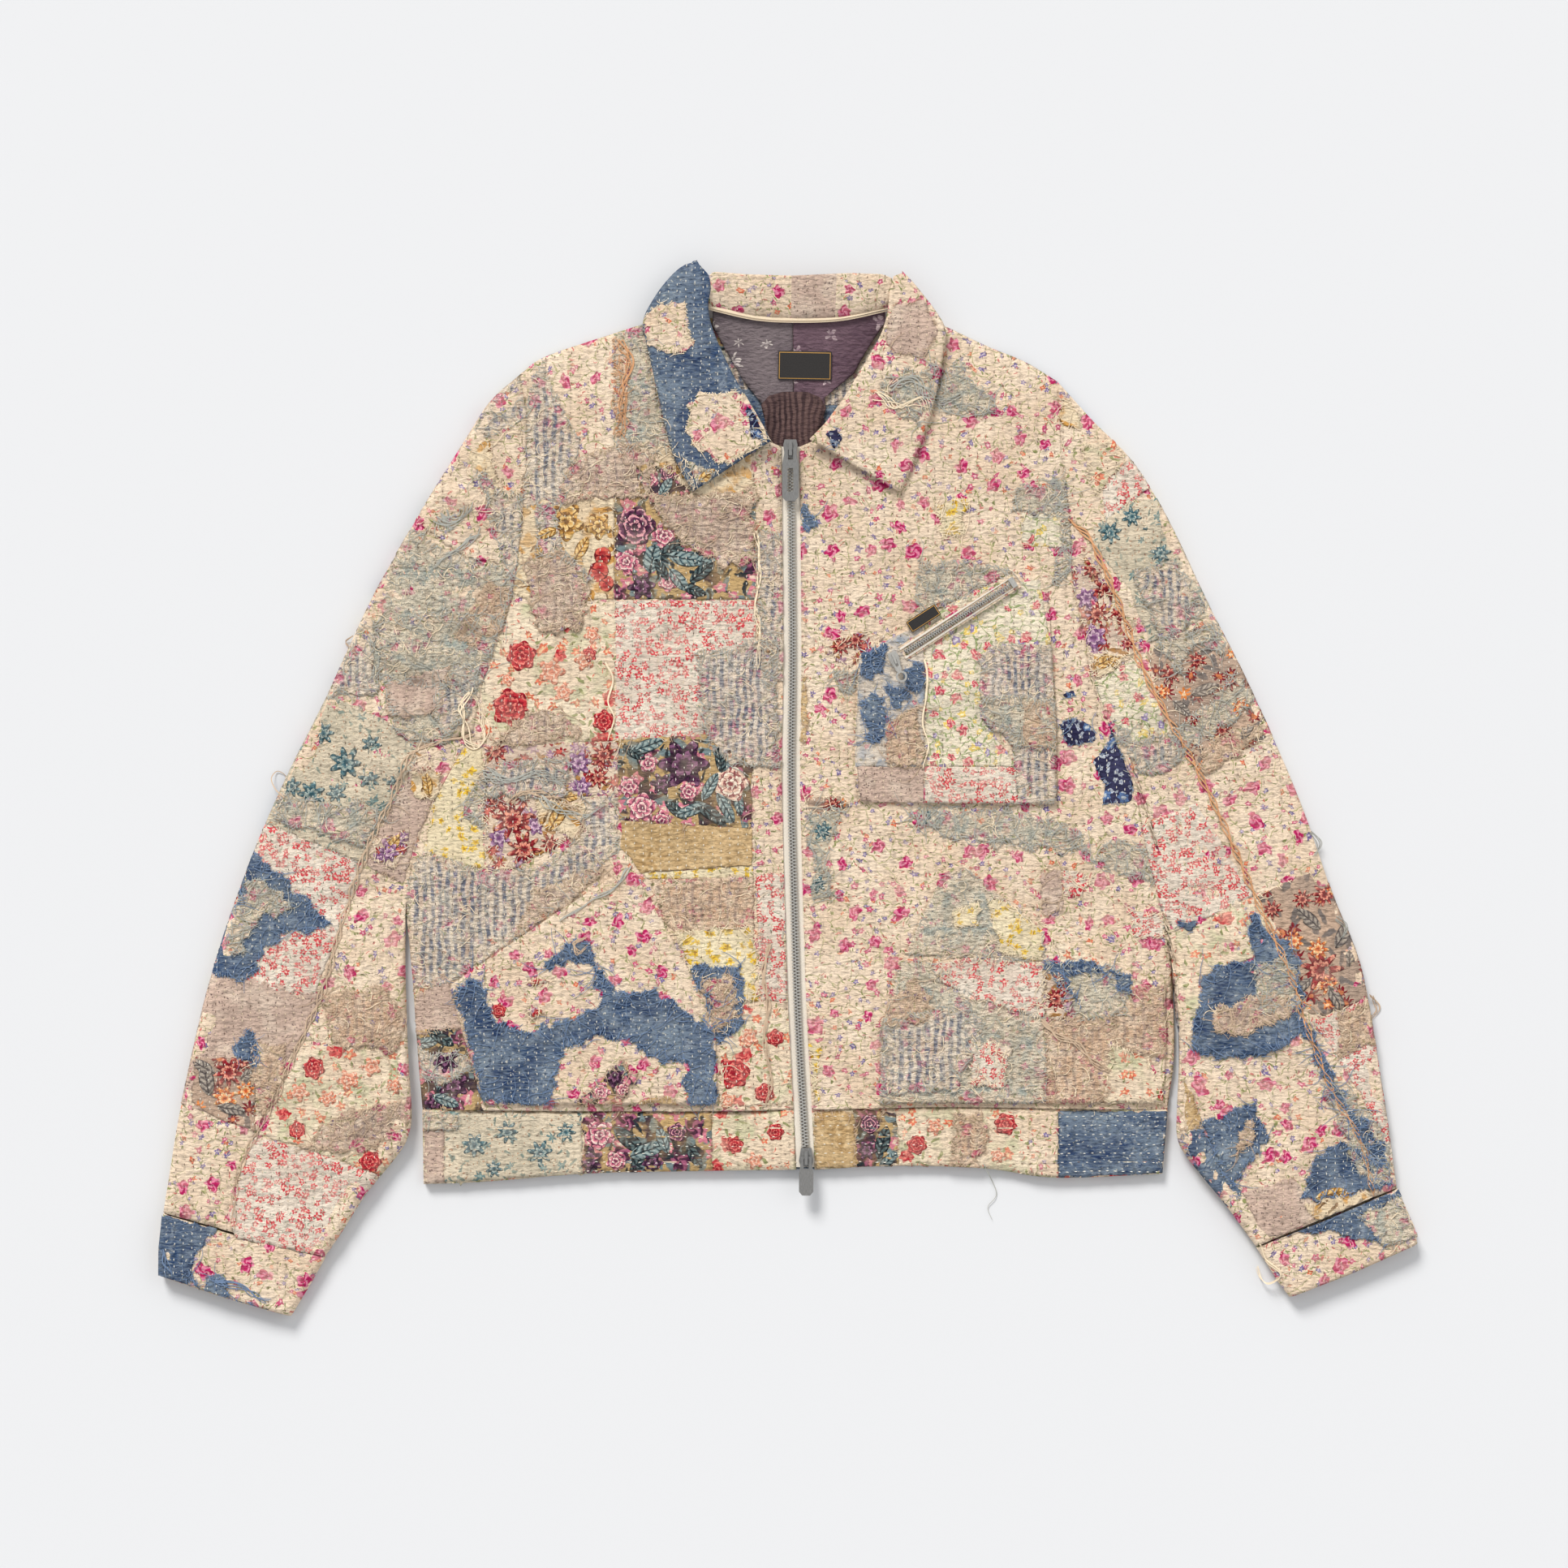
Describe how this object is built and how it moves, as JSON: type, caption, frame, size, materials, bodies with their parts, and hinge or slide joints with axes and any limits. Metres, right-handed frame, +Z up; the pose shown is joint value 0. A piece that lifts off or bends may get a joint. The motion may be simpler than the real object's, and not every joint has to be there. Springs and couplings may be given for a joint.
{
  "type": "patched boro jacket",
  "caption": "Patched, hand-quilted cotton jacket laid flat: fold-down collar, front zip, slanted hand pockets, zipped chest pocket, frayed patches.",
  "frame": {"origin": "on the surface the jacket lies on, under the middle of its bounding box", "axes": "+X towards the wearer's left sleeve, +Y towards the collar, +Z up, out of the front"},
  "size_m": [0.962, 0.805, 0.0212],
  "materials": {
    "shell_cloth": "pieced cotton prints, worn matte",
    "hem_cloth": "pieced cotton prints, worn matte",
    "sleeve_cloth": "pieced cotton prints, worn matte",
    "cuff_cloth": "pieced cotton prints, worn matte",
    "collar_cloth": "pieced cotton prints, worn matte",
    "pocket_cloth": "pieced cotton prints, worn matte",
    "patch_cloth": "loose-weave and printed cotton, frayed",
    "lining_cloth": "printed and ribbed cotton",
    "black_label": "woven, matte",
    "zip_tape": "woven tape",
    "zip_metal": "satin, slightly worn"
  },
  "bodies": {
    "jacket": {"back": "shell_cloth", "front_right": "shell_cloth", "front_left": "shell_cloth", "hem_back": "hem_cloth", "hem_front_right": "hem_cloth", "hem_front_left": "hem_cloth", "sleeve_right_upper": "sleeve_cloth", "sleeve_right_under": "sleeve_cloth", "sleeve_left_upper": "sleeve_cloth", "sleeve_left_under": "sleeve_cloth", "cuff_right": "cuff_cloth", "cuff_left": "cuff_cloth", "collar_right": "collar_cloth", "collar_left": "collar_cloth", "collar_back": "collar_cloth", "pocket_right": "pocket_cloth", "pocket_left": "pocket_cloth", "chest_pocket": "pocket_cloth", "patch_bouquet_high": "patch_cloth", "patch_bouquet_low": "patch_cloth", "patch_gold_leaf": "patch_cloth", "patch_chintz": "patch_cloth", "patch_flap": "patch_cloth", "patch_pocket_indigo": "patch_cloth", "patch_pocket_taupe": "patch_cloth", "patch_sleeve_grey": "patch_cloth", "patch_sleeve_rose": "patch_cloth", "patch_sleeve_folk": "patch_cloth", "patch_sleeve_indigo": "patch_cloth", "patch_sleeve_blossom": "patch_cloth", "lining_right": "lining_cloth", "lining_left": "lining_cloth", "lining_rib": "lining_cloth", "neck_label": "black_label", "chest_tag": "black_label", "zip_tape_right": "zip_tape", "zip_tape_left": "zip_tape", "chest_zip_tape": "zip_tape", "zip_chain": "zip_metal", "top_slider": "zip_metal", "bottom_slider": "zip_metal", "chest_zip_chain": "zip_metal", "chest_zip_end": "zip_metal", "chest_slider": "zip_metal"},
    "top_pull": {"top_pull": "zip_metal"},
    "bottom_pull": {"bottom_pull": "zip_metal"},
    "chest_pull": {"chest_pull": "zip_metal"}
  },
  "joints": [
    {"name": "top_pull_turn", "type": "hinge", "parent": "jacket", "child": "top_pull", "pos_m": [0.0015, 0.26, 0.0134], "axis": [-1, 0, 0], "range_deg": [0, 165]},
    {"name": "bottom_pull_turn", "type": "hinge", "parent": "jacket", "child": "bottom_pull", "pos_m": [0.0135, -0.281, 0.0134], "axis": [-1, 0, 0], "range_deg": [0, 165]},
    {"name": "chest_pull_turn", "type": "hinge", "parent": "jacket", "child": "chest_pull", "pos_m": [0.08067, 0.09935, 0.0189], "axis": [-0.9272, -0.3746, 0], "range_deg": [0, 165]}
  ]
}
